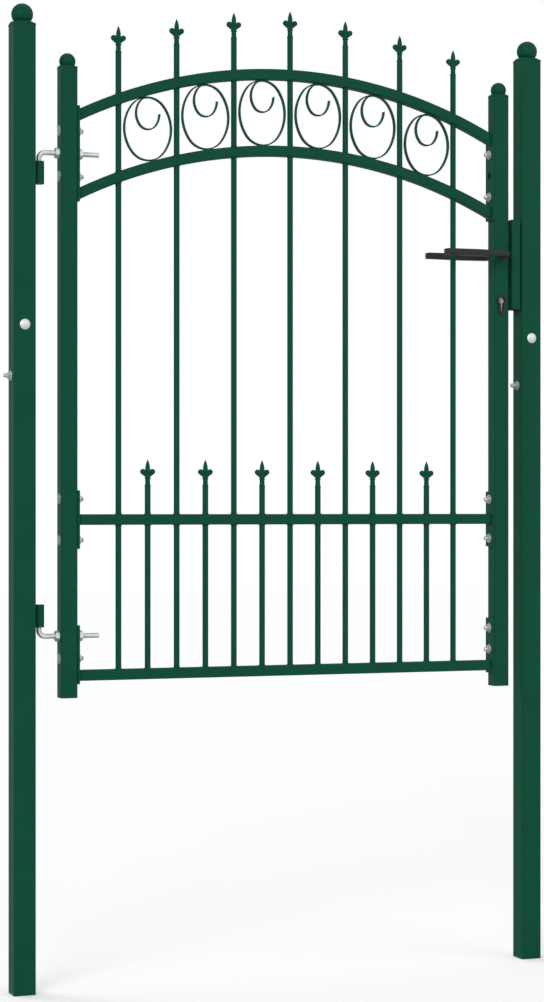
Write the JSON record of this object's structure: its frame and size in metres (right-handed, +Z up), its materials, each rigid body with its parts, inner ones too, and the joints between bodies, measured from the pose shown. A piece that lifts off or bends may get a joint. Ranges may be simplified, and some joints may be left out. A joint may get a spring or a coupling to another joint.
{
  "type": "fence gate",
  "caption": "Single-leaf steel garden gate: spear-topped bars through a double arch with scrolls, hung on hook hinges between two posts, with a lever latch.",
  "frame": {"origin": "the middle of the hinge post's foot, in the plane of the foot's end", "axes": "+X from the hinge post to the latch post, +Y towards the side the leaf opens to, +Z up"},
  "size_m": [1.0409, 0.1008, 1.756],
  "materials": {
    "green_powder_coat": "satin moss-green powder coat on steel tube and bar",
    "zinc_plate": "bright zinc plate on bolts, nuts, hinge hooks and the lock's cylinder",
    "black_coat": "satin black coat on the cast levers and the cylinder's covers",
    "bare_steel": "bare brushed steel of the lock"
  },
  "bodies": {
    "posts": {"left_post": "green_powder_coat", "left_post_cap": "green_powder_coat", "right_post": "green_powder_coat", "right_post_cap": "green_powder_coat", "upper_hinge_sleeve": "green_powder_coat", "lower_hinge_sleeve": "green_powder_coat", "keeper": "green_powder_coat", "left_post_bolts": "zinc_plate", "right_post_bolts": "zinc_plate"},
    "leaf": {"hinge_stile": "green_powder_coat", "hinge_stile_cap": "green_powder_coat", "latch_stile": "green_powder_coat", "latch_stile_cap": "green_powder_coat", "top_arch": "green_powder_coat", "lower_arch": "green_powder_coat", "middle_rail": "green_powder_coat", "bottom_rail": "green_powder_coat", "long_bar_1": "green_powder_coat", "long_bar_2": "green_powder_coat", "long_bar_3": "green_powder_coat", "long_bar_4": "green_powder_coat", "long_bar_5": "green_powder_coat", "long_bar_6": "green_powder_coat", "long_bar_7": "green_powder_coat", "short_bar_1": "green_powder_coat", "short_bar_2": "green_powder_coat", "short_bar_3": "green_powder_coat", "short_bar_4": "green_powder_coat", "short_bar_5": "green_powder_coat", "short_bar_6": "green_powder_coat", "scrolls": "green_powder_coat", "hinge_side_plates": "green_powder_coat", "latch_side_plates": "green_powder_coat", "upper_hinge_hook": "zinc_plate", "lower_hinge_hook": "zinc_plate", "hook_nuts": "zinc_plate", "hinge_side_bolts": "zinc_plate", "latch_side_bolts": "zinc_plate", "lock_case": "bare_steel", "lock_cylinder": "zinc_plate", "cylinder_covers": "black_coat"},
    "latch": {"latch_bolt": "bare_steel"},
    "levers": {"front_lever": "black_coat", "back_lever": "black_coat", "spindle": "bare_steel"}
  },
  "joints": [
    {"name": "leaf_swing", "type": "hinge", "parent": "posts", "child": "leaf", "pos_m": [0.03, 0, 1.05], "axis": [0, 0, 1], "range_deg": [0, 95]},
    {"name": "lever_turn", "type": "hinge", "parent": "leaf", "child": "levers", "pos_m": [0.924, 0, 1.3255], "axis": [0, -1, 0], "range_deg": [0, 40], "stiffness_Nm_per_rad": 1, "springref_deg": -28.65},
    {"name": "latch_slide", "type": "slide", "parent": "leaf", "child": "latch", "axis": [-1, 0, 0], "range_m": [0, 0.0121]}
  ],
  "couplings": [
    {"joint": "latch_slide", "follows": "lever_turn", "m_per_rad": 0.01719}
  ]
}
